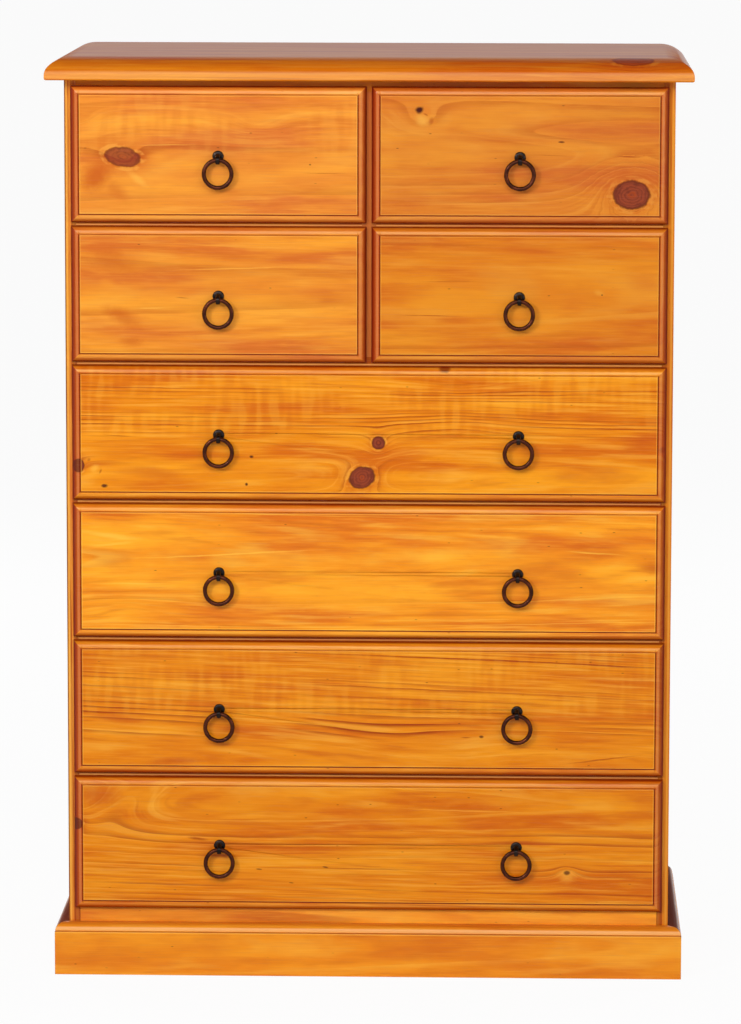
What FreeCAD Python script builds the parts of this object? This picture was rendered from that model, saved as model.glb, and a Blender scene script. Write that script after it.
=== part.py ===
# Tall pine chest: two rows of half-width drawers over four full-width drawers, a moulded top
# board, a planted plinth and ring pulls hung in eye posts.
# Millimetres. The floor is Z = 0, the front faces -Y and X = 0 is the middle of the width.

import FreeCAD
import Part
import math
import os

Vector = FreeCAD.Vector

# Rows from the top down, and whether a row holds two half-width drawers
ROWS = [
    ("top", True),
    ("second", True),
    ("third", False),
    ("fourth", False),
    ("fifth", False),
    ("bottom", False),
]

# Top board
TOP_WIDTH = 900.0
TOP_THICKNESS = 32.0
TOP_FRONT_OVERHANG = 34.0
TOP_CURVE_WIDTH = 36.0
TOP_NOSE_HEIGHT = 6.5
TOP_NOSE_RADIUS = 18.0
TOP_UNDER_RADIUS = 3.0

# Carcass boards
CARCASS_WIDTH = 850.0
CARCASS_DEPTH = 416.0
SIDE_THICKNESS = 16.0
DIVIDER_THICKNESS = 20.0
BACK_THICKNESS = 5.0
BACK_REBATE = 8.0
BACK_FIT = 0.5
BACK_LIFT = 15.0

# Plinth planted on the carcass
PLINTH_HEIGHT = 74.0
PLINTH_THICKNESS = 19.0
GLUE_BLOCK_LEG = 40.0

# What shows of the frame around the drawer fronts
BASE_REVEAL = 20.0
TOP_REVEAL = 8.5
SIDE_REVEAL = 9.0
ROW_GAP = 4.5
COLUMN_GAP = 7.0
FRONT_HEIGHT = 190.5

# Frame rails and runners
RAIL_THICKNESS = 20.0
RAIL_DEPTH = 60.0
REAR_RAIL_DEPTH = 20.0
REAR_BASE_RAIL_HEIGHT = 60.0
BOTTOM_RAIL_DEPTH = 20.0
BOTTOM_RAIL_LOW = 45.0
RUNNER_WIDTH = 22.0
TENON_LENGTH = 6.0
TENON_SHOULDER = 5.0

# Drawer fronts with a lip that closes against the frame
LIP_EDGE = 1.4
TONGUE_THICKNESS = 10.0
TONGUE_CLEARANCE = 1.0
BEAD_RADIUS = 11.0
BEAD_DROP = 0.6
QUIRK_WIDTH = 1.5
QUIRK_DEPTH = 1.5

# Drawer boxes
DRAWER_CLEARANCE = 2.0
DRAWER_REAR_SPACE = 16.0
DRAWER_SIDE_THICKNESS = 12.0
DRAWER_HEADROOM = 15.0
DRAWER_BACK_THICKNESS = 12.0
DRAWER_BACK_INSET = 12.0
DRAWER_BACK_DROP = 6.0
DADO_DEPTH = 4.0
BOTTOM_THICKNESS = 5.0
BOTTOM_LIFT = 10.0
GROOVE_DEPTH = 5.0
GROOVE_FIT = 0.5
TAIL_MARGIN = 5.0
TAIL_COUNT = 3
PIN_WIDTH = 11.0
TAIL_RISE = 1.8

# Ring pulls
PULL_DROP = 2.0
ROSE_RADIUS = 8.0
ROSE_HEIGHT = 3.0
ROSE_RIM = 1.0
STUD_RADIUS = 2.0
STUD_CLEARANCE = 0.3
STUD_TAIL = 2.0
NUT_RADIUS = 4.5
NUT_THICKNESS = 4.0
NUT_CLEARANCE = 0.05
NECK_RADIUS = 4.0
NECK_REACH = 7.2
EYE_REACH = 11.0
EYE_DROP = 4.5
EYE_THICKNESS = 6.0
EYE_WALL = 2.4
EYE_CLEARANCE = 0.6
EYE_ROUND = 1.6
RING_RADIUS = 19.2
WIRE_RADIUS = 3.0

# Levels and planes that follow from the sizes
row_pitch = FRONT_HEIGHT + ROW_GAP
carcass_height = PLINTH_HEIGHT + BASE_REVEAL + len(ROWS) * row_pitch - ROW_GAP + TOP_REVEAL
carcass_front = -(CARCASS_DEPTH - TOP_FRONT_OVERHANG) / 2.0
carcass_back = carcass_front + CARCASS_DEPTH
inside_back = carcass_back - BACK_THICKNESS
half_carcass = CARCASS_WIDTH / 2.0
half_inside = half_carcass - SIDE_THICKNESS
half_divider = DIVIDER_THICKNESS / 2.0
half_fronts = half_carcass - SIDE_REVEAL
rail_overlap = (RAIL_THICKNESS - ROW_GAP) / 2.0
rail_back = carcass_front + RAIL_DEPTH
rear_rail_front = inside_back - REAR_RAIL_DEPTH
lip_thickness = LIP_EDGE + BEAD_RADIUS + BEAD_DROP
front_face = carcass_front - lip_thickness
tongue_back = carcass_front + TONGUE_THICKNESS
split_count = sum(1 for name, split in ROWS if split)
pull_offset = (half_fronts + COLUMN_GAP / 2.0) / 2.0
eye_hole_radius = WIRE_RADIUS + EYE_CLEARANCE
eye_radius = eye_hole_radius + EYE_WALL


def front_top(row):
    return carcass_height - TOP_REVEAL - row * row_pitch


def front_bottom(row):
    return front_top(row) - FRONT_HEIGHT


def bay_floor(row):
    return front_bottom(row) + rail_overlap


def bay_ceiling(row):
    return front_top(row) - rail_overlap


# Shape helpers
def block(x_low, x_high, y_low, y_high, z_low, z_high):
    corner = Vector(x_low, y_low, z_low)
    return Part.makeBox(x_high - x_low, y_high - y_low, z_high - z_low, corner)


def prism(points, sweep):
    face = Part.Face(Part.makePolygon(points + points[:1]))
    return face.extrude(sweep)


def line(start, end):
    return Part.makeLine(start, end)


def arc(start, middle, end):
    return Part.Arc(start, middle, end).toShape()


def quarter(start, corner, end):
    curve = Part.BezierCurve()
    curve.setPoles([start, corner, end])
    curve.setWeight(2, math.sqrt(0.5))
    return curve.toShape()


def solid_from(edges, sweep):
    return Part.Face(Part.Wire(edges)).extrude(sweep)


def mirrored(shape):
    return shape.mirror(Vector(0, 0, 0), Vector(1, 0, 0))


def save(name, solids):
    shape = solids[0] if len(solids) == 1 else Part.makeCompound(solids)
    shape.exportStep("parts/" + name + ".step")


os.makedirs("parts", exist_ok=True)


# Top board: a short nose that rolls over into a flatter crown, on the front and both ends
def top_section(place, low, high, both_ends):
    under = carcass_height
    nose = under + TOP_NOSE_HEIGHT
    upper = under + TOP_THICKNESS
    turn = TOP_UNDER_RADIUS * (1.0 - math.sqrt(0.5))

    # The nose and crown arcs meet on the line through their centres
    rise = TOP_THICKNESS - TOP_NOSE_HEIGHT
    reach = TOP_CURVE_WIDTH - TOP_NOSE_RADIUS
    crown_radius = (reach ** 2 + rise ** 2 - TOP_NOSE_RADIUS ** 2) / (2.0 * (rise - TOP_NOSE_RADIUS))
    join = math.atan2(crown_radius - rise, -reach)

    def moulded_end(edge, inward):
        def on_nose(angle):
            across = TOP_NOSE_RADIUS * (1.0 + math.cos(angle))
            return place(edge + inward * across, nose + TOP_NOSE_RADIUS * math.sin(angle))

        def on_crown(angle):
            across = TOP_CURVE_WIDTH + crown_radius * math.cos(angle)
            return place(edge + inward * across, upper - crown_radius * (1.0 - math.sin(angle)))

        foot = place(edge + inward * TOP_UNDER_RADIUS, under)
        bend = place(edge + inward * turn, under + turn)
        heel = place(edge, under + TOP_UNDER_RADIUS)
        brow = place(edge, nose)
        crown = place(edge + inward * TOP_CURVE_WIDTH, upper)
        meeting = on_nose(join)
        edges = [
            arc(foot, bend, heel),
            line(heel, brow),
            arc(brow, on_nose((math.pi + join) / 2.0), meeting),
            arc(meeting, on_crown((join + math.pi / 2.0) / 2.0), crown),
        ]
        return foot, crown, edges

    foot, crown, edges = moulded_end(low, 1.0)
    if both_ends:
        far_foot, far_crown, far_edges = moulded_end(high, -1.0)
        return edges + [line(crown, far_crown)] + far_edges[::-1] + [line(far_foot, foot)]
    far_foot = place(high, under)
    far_crown = place(high, upper)
    return edges + [line(crown, far_crown), line(far_crown, far_foot), line(far_foot, foot)]


top_front = carcass_front - TOP_FRONT_OVERHANG
half_top = TOP_WIDTH / 2.0
ends = top_section(lambda s, z: Vector(s, top_front, z), -half_top, half_top, True)
depth = top_section(lambda s, z: Vector(-half_top, s, z), top_front, carcass_back, False)
top_board = solid_from(ends, Vector(0, carcass_back - top_front, 0))
top_board = top_board.common(solid_from(depth, Vector(TOP_WIDTH, 0, 0)))
save("top_board", [top_board.removeSplitter()])


# Frame rails with stub tenons, and the sockets those tenons need
side_sockets = []
divider_sockets = []


def rail_between(x_low, x_high, y_low, y_high, z_low, z_high, low_sockets, high_sockets):
    y_in = y_low + TENON_SHOULDER
    y_out = y_high - TENON_SHOULDER
    z_in = z_low + TENON_SHOULDER
    z_out = z_high - TENON_SHOULDER
    body = block(x_low, x_high, y_low, y_high, z_low, z_high)
    low_tenon = block(x_low - TENON_LENGTH, x_low, y_in, y_out, z_in, z_out)
    high_tenon = block(x_high, x_high + TENON_LENGTH, y_in, y_out, z_in, z_out)
    low_sockets.append(low_tenon)
    high_sockets.append(high_tenon)
    return body.fuse([low_tenon, high_tenon]).removeSplitter()


def full_rail(y_low, y_high, z_low, z_high):
    return rail_between(-half_inside, half_inside, y_low, y_high, z_low, z_high,
                        side_sockets, side_sockets)


divider_low = bay_floor(split_count - 1)
divider_high = bay_ceiling(0)
divider_feet = []
for y_low, y_high in ((carcass_front, rail_back), (rear_rail_front, inside_back)):
    y_in = y_low + TENON_SHOULDER
    y_out = y_high - TENON_SHOULDER
    half_foot = half_divider - TENON_SHOULDER
    divider_feet.append(block(-half_foot, half_foot, y_in, y_out,
                              divider_low - TENON_LENGTH, divider_low))
    divider_feet.append(block(-half_foot, half_foot, y_in, y_out,
                              divider_high, divider_high + TENON_LENGTH))

top_rail = full_rail(carcass_front, rail_back, bay_ceiling(0), carcass_height)
top_rail = top_rail.cut(divider_feet)
save("top_rail", [top_rail])

drawer_rails = []
for row in range(len(ROWS) - 1):
    z_high = bay_floor(row)
    z_low = z_high - RAIL_THICKNESS
    if row < split_count - 1:
        drawer_rails.append(rail_between(-half_inside, -half_divider, carcass_front, rail_back,
                                         z_low, z_high, side_sockets, divider_sockets))
        drawer_rails.append(rail_between(half_divider, half_inside, carcass_front, rail_back,
                                         z_low, z_high, divider_sockets, side_sockets))
    else:
        rail = full_rail(carcass_front, rail_back, z_low, z_high)
        drawer_rails.append(rail.cut(divider_feet))
save("drawer_rails", drawer_rails)

bottom_rail = full_rail(carcass_front, carcass_front + BOTTOM_RAIL_DEPTH,
                        BOTTOM_RAIL_LOW, bay_floor(len(ROWS) - 1))
save("bottom_rail", [bottom_rail])

rear_top_rail = full_rail(rear_rail_front, inside_back, bay_ceiling(0), carcass_height)
rear_middle_rail = full_rail(rear_rail_front, inside_back, divider_low - RAIL_THICKNESS, divider_low)
rear_base_rail = full_rail(rear_rail_front, inside_back,
                           BACK_LIFT, BACK_LIFT + REAR_BASE_RAIL_HEIGHT)
save("rear_rails", [rear_top_rail.cut(divider_feet), rear_middle_rail.cut(divider_feet), rear_base_rail])

# Side panels down to the floor, rebated for the back
for name, outer, inner in (("left_side_panel", -half_carcass, -half_inside),
                           ("right_side_panel", half_carcass, half_inside)):
    inward = 1.0 if inner > outer else -1.0
    rebate_edge = inner - inward * BACK_REBATE
    panel = block(min(outer, inner), max(outer, inner), carcass_front, carcass_back, 0, carcass_height)
    rebate = block(min(rebate_edge, inner), max(rebate_edge, inner), inside_back, carcass_back,
                   0, carcass_height)
    save(name, [panel.cut([rebate] + side_sockets)])

half_back = half_inside + BACK_REBATE - BACK_FIT
save("back_panel", [block(-half_back, half_back, inside_back, carcass_back, BACK_LIFT, carcass_height)])

# Divider between the half-width drawers, tenoned into the rails above and below
divider = block(-half_divider, half_divider, carcass_front, inside_back, divider_low, divider_high)
divider = divider.cut(divider_sockets).fuse(divider_feet).removeSplitter()
save("centre_divider", [divider])

# Runners level with the rails, and a kicker strip over the top drawers
runners = [block(-half_inside, -half_inside + RUNNER_WIDTH, rail_back, rear_rail_front,
                 bay_ceiling(0), carcass_height)]
for row in range(len(ROWS)):
    start = rail_back if row < len(ROWS) - 1 else carcass_front + BOTTOM_RAIL_DEPTH
    runners.append(block(-half_inside, -half_inside + RUNNER_WIDTH, start, rear_rail_front,
                         bay_floor(row) - RAIL_THICKNESS, bay_floor(row)))
save("left_runners", runners)
save("right_runners", [mirrored(runner) for runner in runners])

divider_runners = []
for row in range(split_count):
    z_high = bay_floor(row)
    z_low = z_high - RAIL_THICKNESS
    reach = half_divider + RUNNER_WIDTH
    if row < split_count - 1:
        runner = block(-reach, -half_divider, rail_back, rear_rail_front, z_low, z_high)
        divider_runners.append(runner)
        divider_runners.append(mirrored(runner))
    else:
        divider_runners.append(block(-reach, reach, rail_back, rear_rail_front, z_low, z_high))
save("divider_runners", divider_runners)


# Plinth with a quirked bead along its top edge, mitred at the front corners
def plinth_section(place):
    shoulder = PLINTH_THICKNESS - BEAD_DROP - BEAD_RADIUS
    crown = PLINTH_THICKNESS - BEAD_DROP
    quirk = PLINTH_THICKNESS - QUIRK_DEPTH
    spring = PLINTH_HEIGHT - BEAD_RADIUS
    turn = BEAD_RADIUS * math.sqrt(0.5)
    corners = [
        place(shoulder, PLINTH_HEIGHT),
        place(0, PLINTH_HEIGHT),
        place(0, 0),
        place(PLINTH_THICKNESS, 0),
        place(PLINTH_THICKNESS, spring - QUIRK_WIDTH),
        place(quirk, spring - QUIRK_WIDTH),
        place(quirk, spring),
        place(crown, spring),
    ]
    edges = [line(a, b) for a, b in zip(corners, corners[1:])]
    edges.append(arc(corners[-1], place(shoulder + turn, spring + turn), corners[0]))
    return edges


half_plinth = half_carcass + PLINTH_THICKNESS
plinth_front_plane = carcass_front - PLINTH_THICKNESS
lift = Vector(0, 0, PLINTH_HEIGHT)

run = solid_from(plinth_section(lambda t, z: Vector(-half_plinth, carcass_front - t, z)),
                 Vector(2.0 * half_plinth, 0, 0))
plan = prism([Vector(-half_plinth, plinth_front_plane, 0), Vector(half_plinth, plinth_front_plane, 0),
              Vector(half_carcass, carcass_front, 0), Vector(-half_carcass, carcass_front, 0)], lift)
save("plinth_front", [run.common(plan)])

run = solid_from(plinth_section(lambda t, z: Vector(-half_carcass - t, plinth_front_plane, z)),
                 Vector(0, carcass_back - plinth_front_plane, 0))
plan = prism([Vector(-half_plinth, plinth_front_plane, 0), Vector(-half_carcass, carcass_front, 0),
              Vector(-half_carcass, carcass_back, 0), Vector(-half_plinth, carcass_back, 0)], lift)
left_plinth = run.common(plan)
save("left_plinth", [left_plinth])
save("right_plinth", [mirrored(left_plinth)])

glue_block = prism([Vector(-half_inside, carcass_front, 0),
                    Vector(-half_inside + GLUE_BLOCK_LEG, carcass_front, 0),
                    Vector(-half_inside, carcass_front + GLUE_BLOCK_LEG, 0)],
                   Vector(0, 0, BOTTOM_RAIL_LOW))
save("plinth_glue_blocks", [glue_block, mirrored(glue_block)])


# Drawer front: one section of lip and tongue swept each way, so the bead mitres at the corners
def front_section(place, low, high, tongue_low, tongue_high):
    crown = lip_thickness - BEAD_DROP
    quirk = lip_thickness - QUIRK_DEPTH
    turn = BEAD_RADIUS * (1.0 - math.sqrt(0.5))

    def end(edge, tongue_edge, inward):
        bead = edge + inward * BEAD_RADIUS
        field = bead + inward * QUIRK_WIDTH
        before = [place(tongue_edge, -TONGUE_THICKNESS), place(tongue_edge, 0),
                  place(edge, 0), place(edge, LIP_EDGE)]
        after = [place(bead, crown), place(bead, quirk), place(field, quirk),
                 place(field, lip_thickness)]
        edges = [line(a, b) for a, b in zip(before, before[1:])]
        edges.append(arc(before[-1], place(edge + inward * turn, crown - turn), after[0]))
        edges.extend(line(a, b) for a, b in zip(after, after[1:]))
        return before[0], after[-1], edges

    start, field, edges = end(low, tongue_low, 1.0)
    far_start, far_field, far_edges = end(high, tongue_high, -1.0)
    return edges + [line(field, far_field)] + far_edges[::-1] + [line(far_start, start)]


# Eye post: a drooping eye on a neck, with a stud through the rose and the front
def eye_outline(x):
    neck = Vector(x, front_face - NECK_REACH, 0)
    eye = Vector(x, front_face - EYE_REACH, -EYE_DROP)
    span = eye - neck
    base = math.atan2(span.z, span.y)
    swing = math.acos((NECK_RADIUS - eye_radius) / span.Length)

    def on(centre, radius, angle):
        return centre + Vector(0, radius * math.cos(angle), radius * math.sin(angle))

    neck_up = on(neck, NECK_RADIUS, base - swing)
    neck_down = on(neck, NECK_RADIUS, base + swing)
    eye_up = on(eye, eye_radius, base - swing)
    eye_down = on(eye, eye_radius, base + swing)
    return [
        arc(neck_up, on(neck, NECK_RADIUS, base + math.pi), neck_down),
        line(neck_down, eye_down),
        arc(eye_down, on(eye, eye_radius, base), eye_up),
        line(eye_up, neck_up),
    ]


def pull_fittings():
    inward = Vector(0, 1, 0)
    shelf = Vector(0, front_face, 0)
    bore_radius = STUD_RADIUS + STUD_CLEARANCE
    half_eye = EYE_THICKNESS / 2.0
    rim = front_face - ROSE_RIM
    crown = front_face - ROSE_HEIGHT
    foot = Vector(ROSE_RADIUS, front_face, 0)
    edge = Vector(ROSE_RADIUS, rim, 0)
    brow = Vector(half_eye, crown, 0)
    outline = [
        line(shelf, foot),
        line(foot, edge),
        quarter(edge, Vector(ROSE_RADIUS, crown, 0), brow),
        line(brow, Vector(0, crown, 0)),
        line(Vector(0, crown, 0), shelf),
    ]
    rose = Part.Face(Part.Wire(outline)).revolve(shelf, inward, 360)
    rose = rose.cut(Part.makeCylinder(bore_radius, ROSE_HEIGHT, Vector(0, crown, 0), inward))

    head = solid_from(eye_outline(-half_eye), Vector(EYE_THICKNESS, 0, 0))
    rim_edges = [e for e in head.Edges if e.BoundBox.XLength < EYE_THICKNESS / 2.0]
    head = head.makeFillet(EYE_ROUND, rim_edges)
    stud_end = tongue_back + NUT_THICKNESS + STUD_TAIL
    neck = Part.makeCylinder(half_eye, NECK_REACH - ROSE_HEIGHT,
                             Vector(0, front_face - NECK_REACH, 0), inward)
    stud = Part.makeCylinder(STUD_RADIUS, stud_end - front_face + NECK_REACH,
                             Vector(0, front_face - NECK_REACH, 0), inward)
    hole = Part.makeCylinder(eye_hole_radius, EYE_THICKNESS,
                             Vector(-half_eye, front_face - EYE_REACH, -EYE_DROP), Vector(1, 0, 0))
    post = head.fuse([neck, stud]).cut(hole).removeSplitter()

    nut = Part.makeCylinder(NUT_RADIUS, NUT_THICKNESS, Vector(0, tongue_back, 0), inward)
    nut = nut.cut(Part.makeCylinder(STUD_RADIUS + NUT_CLEARANCE, NUT_THICKNESS,
                                    Vector(0, tongue_back, 0), inward))
    return [rose, post, nut]


fittings = pull_fittings()
ring = Part.makeTorus(RING_RADIUS, WIRE_RADIUS,
                      Vector(0, front_face - EYE_REACH, -EYE_DROP - RING_RADIUS), Vector(0, 1, 0))
front_bore = Part.makeCylinder(STUD_RADIUS + STUD_CLEARANCE, tongue_back - front_face,
                               Vector(0, front_face, 0), Vector(0, 1, 0))


def placed(shape, x, z):
    copy = shape.copy()
    copy.translate(Vector(x, 0, z))
    return copy


# One drawer: lipped front, dovetailed sides, housed back, grooved bottom and its pulls
def make_drawer(key, row, low, high, bay_low, bay_high, pulls):
    floor = bay_floor(row)
    box_low = bay_low + DRAWER_CLEARANCE
    box_high = bay_high - DRAWER_CLEARANCE
    side_top = bay_ceiling(row) - DRAWER_HEADROOM
    side_end = inside_back - DRAWER_REAR_SPACE
    panel_low = floor + BOTTOM_LIFT
    panel_high = panel_low + BOTTOM_THICKNESS
    inner_low = box_low + DRAWER_SIDE_THICKNESS
    inner_high = box_high - DRAWER_SIDE_THICKNESS

    across = front_section(lambda s, t: Vector(s, carcass_front - t, front_bottom(row)),
                           low, high, box_low, box_high)
    upright = front_section(lambda s, t: Vector(low, carcass_front - t, s),
                            front_bottom(row), front_top(row),
                            floor + TONGUE_CLEARANCE, bay_ceiling(row) - TONGUE_CLEARANCE)
    front = solid_from(across, Vector(0, 0, FRONT_HEIGHT))
    front = front.common(solid_from(upright, Vector(high - low, 0, 0)))

    # Tails on the sides and the matching sockets in the tongue
    tail_zone_low = panel_high + TAIL_MARGIN
    tail_pitch = (side_top - TAIL_MARGIN - tail_zone_low) / TAIL_COUNT
    half_end = (tail_pitch - PIN_WIDTH) / 2.0
    half_root = half_end - TAIL_RISE
    sides = []
    tails = []
    for outer, inner in ((box_low, inner_low), (inner_high, box_high)):
        body = block(outer, inner, tongue_back, side_end, floor, side_top)
        side_tails = []
        for count in range(TAIL_COUNT):
            centre = tail_zone_low + (count + 0.5) * tail_pitch
            side_tails.append(prism([Vector(outer, carcass_front, centre - half_end),
                                     Vector(outer, tongue_back, centre - half_root),
                                     Vector(outer, tongue_back, centre + half_root),
                                     Vector(outer, carcass_front, centre + half_end)],
                                    Vector(inner - outer, 0, 0)))
        sides.append(body.fuse(side_tails).removeSplitter())
        tails.extend(side_tails)

    # Bottom panel in its grooves, under the back
    groove_low = inner_low - GROOVE_DEPTH
    groove_high = inner_high + GROOVE_DEPTH
    groove_front = tongue_back - GROOVE_DEPTH
    back_rear = side_end - DRAWER_BACK_INSET
    back_front = back_rear - DRAWER_BACK_THICKNESS
    groove = block(groove_low, groove_high, groove_front, side_end, panel_low, panel_high)
    panel = block(groove_low + GROOVE_FIT, groove_high - GROOVE_FIT, groove_front + GROOVE_FIT,
                  back_rear, panel_low, panel_high)
    back = block(inner_low - DADO_DEPTH, inner_high + DADO_DEPTH, back_front, back_rear,
                 panel_high, side_top - DRAWER_BACK_DROP)

    bores = [placed(front_bore, x, pull_height(row)) for x in pulls]
    save(key + "_drawer_front", [front.cut(tails + [groove] + bores).removeSplitter()])
    save(key + "_drawer_box", [sides[0].cut([groove, back]), sides[1].cut([groove, back]), back])
    save(key + "_drawer_bottom", [panel])
    save(key + "_pull_posts", [placed(piece, x, pull_height(row)) for x in pulls for piece in fittings])


def pull_height(row):
    return front_bottom(row) + FRONT_HEIGHT / 2.0 - PULL_DROP


for row, (name, split) in enumerate(ROWS):
    if split:
        make_drawer(name + "_left", row, -half_fronts, -COLUMN_GAP / 2.0,
                    -half_inside, -half_divider, [-pull_offset])
        make_drawer(name + "_right", row, COLUMN_GAP / 2.0, half_fronts,
                    half_divider, half_inside, [pull_offset])
    else:
        make_drawer(name, row, -half_fronts, half_fronts, -half_inside, half_inside,
                    [-pull_offset, pull_offset])
    save(name + "_left_ring", [placed(ring, -pull_offset, pull_height(row))])
    save(name + "_right_ring", [placed(ring, pull_offset, pull_height(row))])
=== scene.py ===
import math

import bpy
from mathutils import Matrix, Vector

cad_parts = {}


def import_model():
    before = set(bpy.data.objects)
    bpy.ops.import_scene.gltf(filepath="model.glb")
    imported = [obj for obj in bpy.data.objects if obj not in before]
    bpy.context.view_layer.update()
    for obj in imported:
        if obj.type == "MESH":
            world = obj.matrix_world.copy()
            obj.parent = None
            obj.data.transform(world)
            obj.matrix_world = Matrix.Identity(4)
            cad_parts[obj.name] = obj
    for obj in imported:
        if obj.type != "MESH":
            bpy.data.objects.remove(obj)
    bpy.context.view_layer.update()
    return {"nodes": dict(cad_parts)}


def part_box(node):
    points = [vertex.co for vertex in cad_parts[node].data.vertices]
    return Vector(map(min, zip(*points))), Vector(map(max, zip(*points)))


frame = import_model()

# Materials work in millimetres, everything else in metres
MM = 0.001

# Camera at the photograph's viewing angle
CAMERA_PLACE = Vector((0.21433, -7.35687, 1.66184))
CAMERA_YAW = math.radians(1.692)
CAMERA_PITCH = math.radians(-7.932)
CAMERA_ROLL = math.radians(0.106)
CAMERA_LENS_MM = 181.259
SENSOR_MM = 36.0

# Sockets of the colour form of the Mix node
MIX_FIRST = 6
MIX_SECOND = 7
MIX_RESULT = 2


def linear(channel):
    level = channel / 255.0
    if level <= 0.04045:
        return level / 12.92
    return ((level + 0.055) / 1.055) ** 2.4


def colour(red, green, blue):
    return (linear(red), linear(green), linear(blue), 1.0)


# A number in a material's node graph, so that shader sums read as sums
class Value:
    def __init__(self, graph, socket):
        self.graph = graph
        self.socket = socket

    def __add__(self, other):
        return self.graph.math("ADD", self, other)

    def __radd__(self, other):
        return self.graph.math("ADD", other, self)

    def __sub__(self, other):
        return self.graph.math("SUBTRACT", self, other)

    def __rsub__(self, other):
        return self.graph.math("SUBTRACT", other, self)

    def __mul__(self, other):
        return self.graph.math("MULTIPLY", self, other)

    def __rmul__(self, other):
        return self.graph.math("MULTIPLY", other, self)

    def __truediv__(self, other):
        return self.graph.math("DIVIDE", self, other)

    def __rtruediv__(self, other):
        return self.graph.math("DIVIDE", other, self)

    def root(self):
        return self.graph.math("SQRT", self)

    def size(self):
        return self.graph.math("ABSOLUTE", self)

    def fraction(self):
        return self.graph.math("FRACT", self)

    def whole(self):
        return self.graph.math("FLOOR", self)

    def least(self, other):
        return self.graph.math("MINIMUM", self, other)

    def most(self, other):
        return self.graph.math("MAXIMUM", self, other)

    # 0 below low, 1 above high, smooth between
    def rise(self, low, high):
        node = self.graph.nodes.new("ShaderNodeMapRange")
        node.interpolation_type = "SMOOTHSTEP"
        self.graph.plug(self, node.inputs["Value"])
        node.inputs["From Min"].default_value = low
        node.inputs["From Max"].default_value = high
        return Value(self.graph, node.outputs["Result"])

    def fall(self, low, high):
        return 1.0 - self.rise(low, high)

    def band(self, low, high, soft):
        return self.rise(low - soft, low) * self.fall(high, high + soft)


# One material's nodes
class Graph:
    def __init__(self, name):
        self.material = bpy.data.materials.new(name)
        self.material.use_nodes = True
        self.nodes = self.material.node_tree.nodes
        self.links = self.material.node_tree.links
        self.nodes.clear()
        output = self.nodes.new("ShaderNodeOutputMaterial")
        self.shader = self.nodes.new("ShaderNodeBsdfPrincipled")
        self.links.new(self.shader.outputs["BSDF"], output.inputs["Surface"])

    def plug(self, source, socket):
        if isinstance(source, Value):
            source = source.socket
        if isinstance(source, bpy.types.NodeSocket):
            self.links.new(source, socket)
        else:
            socket.default_value = source

    def math(self, operation, *values):
        node = self.nodes.new("ShaderNodeMath")
        node.operation = operation
        for value, socket in zip(values, node.inputs):
            self.plug(value, socket)
        return Value(self, node.outputs[0])

    def split(self, socket):
        node = self.nodes.new("ShaderNodeSeparateXYZ")
        self.links.new(socket, node.inputs[0])
        return [Value(self, output) for output in node.outputs]

    # Object coordinates in millimetres
    def place(self):
        node = self.nodes.new("ShaderNodeTexCoord")
        return [value / MM for value in self.split(node.outputs["Object"])]

    def normal(self):
        node = self.nodes.new("ShaderNodeNewGeometry")
        return self.split(node.outputs["Normal"])

    def vector(self, x, y, z):
        node = self.nodes.new("ShaderNodeCombineXYZ")
        for value, socket in zip((x, y, z), node.inputs):
            self.plug(value, socket)
        return node.outputs[0]

    def noise(self, x, y, z, detail=2.0):
        node = self.nodes.new("ShaderNodeTexNoise")
        node.inputs["Scale"].default_value = 1.0
        node.inputs["Detail"].default_value = detail
        self.links.new(self.vector(x, y, z), node.inputs["Vector"])
        return Value(self, node.outputs["Fac"])

    # Distance to the nearest of a scatter of points, and a chance number for that point
    def scatter(self, x, y):
        node = self.nodes.new("ShaderNodeTexVoronoi")
        node.voronoi_dimensions = "2D"
        node.inputs["Scale"].default_value = 1.0
        self.links.new(self.vector(x, y, 0.0), node.inputs["Vector"])
        chance = self.split(node.outputs["Color"])[0]
        return Value(self, node.outputs["Distance"]), chance

    def chance(self, number):
        node = self.nodes.new("ShaderNodeTexWhiteNoise")
        node.noise_dimensions = "1D"
        self.plug(number, node.inputs["W"])
        return Value(self, node.outputs["Value"])

    def mix(self, amount, first, second):
        node = self.nodes.new("ShaderNodeMix")
        node.data_type = "RGBA"
        self.plug(amount, node.inputs["Factor"])
        self.plug(first, node.inputs[MIX_FIRST])
        self.plug(second, node.inputs[MIX_SECOND])
        return node.outputs[MIX_RESULT]

    def bump(self, height, strength, distance):
        node = self.nodes.new("ShaderNodeBump")
        node.inputs["Strength"].default_value = strength
        node.inputs["Distance"].default_value = distance
        self.plug(height, node.inputs["Height"])
        self.links.new(node.outputs["Normal"], self.shader.inputs["Normal"])


# Pine under a stained satin lacquer
STAIN = {
    "pale": colour(247, 158, 24),
    "mid": colour(235, 138, 12),
    "deep": colour(217, 108, 6),
    "line": colour(160, 56, 4),
    "glow": colour(255, 186, 66),
    "flush": colour(190, 74, 12),
    "rim": colour(70, 20, 8),
    "core": colour(146, 62, 34),
    "core_line": colour(84, 30, 18),
    "edge": colour(128, 26, 0),
    # A painted highlight, laid on bead crests, the top's nose and the lines in the gaps
    "painted_highlight": colour(255, 190, 118),
}
BARE = {
    "pale": colour(244, 213, 158),
    "mid": colour(237, 199, 138),
    "deep": colour(227, 183, 118),
    "line": colour(186, 136, 78),
    "glow": colour(246, 224, 184),
    "flush": colour(204, 156, 98),
    "rim": colour(96, 52, 24),
    "core": colour(158, 98, 52),
    "core_line": colour(120, 68, 32),
    "edge": colour(150, 104, 58),
    "painted_highlight": colour(246, 224, 184),
}
LIGHT_TONES = ("pale", "mid", "deep", "glow")
# Pale pink of a painted reflection veil on the lacquer, laid over the light tones
PAINTED_VEIL = colour(255, 206, 160)

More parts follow.
